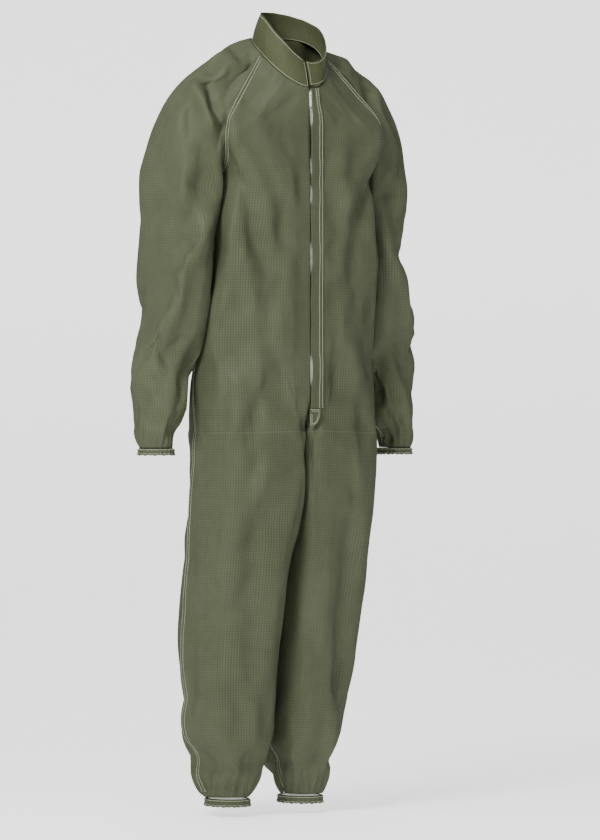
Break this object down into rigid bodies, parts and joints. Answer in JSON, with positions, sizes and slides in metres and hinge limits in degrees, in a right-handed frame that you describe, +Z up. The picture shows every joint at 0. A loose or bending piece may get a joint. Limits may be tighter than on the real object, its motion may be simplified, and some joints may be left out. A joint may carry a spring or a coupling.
{
  "type": "coverall suit",
  "caption": "Protective beekeeping coverall: raglan sleeves, stand collar with tab, front zip under a storm flap, elastic wrists and ankles.",
  "frame": {"origin": "centre of the neck opening, level with the sides of the neck seam, where the suit hangs from the shoulders or a hanger", "axes": "+Z up, front towards -Y, the wearer's left towards +X"},
  "size_m": [0.618, 0.2722, 1.549],
  "materials": {
    "suit_cloth": "fine grid weave, soft sheen",
    "suit_cloth_inside": "matt reverse of the cloth",
    "zip_plastic": "white moulded plastic",
    "zip_tape": "white woven tape",
    "elastic": "covered elastic",
    "snap_metal": "satin",
    "thread": "pale twisted thread"
  },
  "bodies": {
    "suit": {"front_right_panel": "suit_cloth", "front_left_panel": "suit_cloth", "back_right_panel": "suit_cloth", "back_left_panel": "suit_cloth", "sleeve_right_cap": "suit_cloth", "sleeve_left_cap": "suit_cloth", "collar_band": "suit_cloth", "placket_end_patch": "suit_cloth", "ankle_casing_right": "suit_cloth", "ankle_casing_left": "suit_cloth", "collar_facing": "suit_cloth_inside", "zip_guard": "suit_cloth_inside", "zip_teeth_right": "zip_plastic", "zip_teeth_left": "zip_plastic", "zip_top_stops": "zip_plastic", "zip_bottom_stop": "zip_plastic", "zip_tape_right": "zip_tape", "zip_tape_left": "zip_tape", "ankle_elastic_right": "elastic", "ankle_elastic_left": "elastic", "collar_snap_socket": "snap_metal"},
    "sleeve_right": {"sleeve_right": "suit_cloth", "wrist_casing_right": "suit_cloth", "wrist_elastic_right": "elastic"},
    "sleeve_left": {"sleeve_left": "suit_cloth", "wrist_casing_left": "suit_cloth", "wrist_elastic_left": "elastic"},
    "storm_flap": {"storm_flap": "suit_cloth"},
    "collar_tab": {"collar_tab": "suit_cloth", "collar_snap_stud": "snap_metal"},
    "zip_slider": {"zip_slider": "zip_plastic"},
    "zip_pull": {"zip_pull": "zip_plastic"}
  },
  "joints": [
    {"name": "sleeve_right_lift", "type": "hinge", "parent": "suit", "child": "sleeve_right", "pos_m": [-0.185, 0.05, -0.1], "axis": [0, 1, 0], "range_deg": [0, 35], "deforming": ["sleeve_right_cap"]},
    {"name": "sleeve_left_lift", "type": "hinge", "parent": "suit", "child": "sleeve_left", "pos_m": [0.185, 0.05, -0.1], "axis": [0, -1, 0], "range_deg": [0, 35], "deforming": ["sleeve_left_cap"]},
    {"name": "storm_flap_fold", "type": "hinge", "parent": "suit", "child": "storm_flap", "pos_m": [0.027, -0.0825, -0.4], "axis": [0, 0, 1], "range_deg": [0, 150]},
    {"name": "collar_tab_fold", "type": "hinge", "parent": "suit", "child": "collar_tab", "pos_m": [0.0327, -0.0696, -0.05], "axis": [0, 0, 1], "range_deg": [0, 120]},
    {"name": "zip_slide", "type": "slide", "parent": "suit", "child": "zip_slider", "axis": [0, 0, -1], "range_m": [0, 0.574]},
    {"name": "zip_pull_swing", "type": "hinge", "parent": "zip_slider", "child": "zip_pull", "pos_m": [0, -0.0799, -0.1], "axis": [-1, 0, 0], "range_deg": [0, 150]}
  ]
}
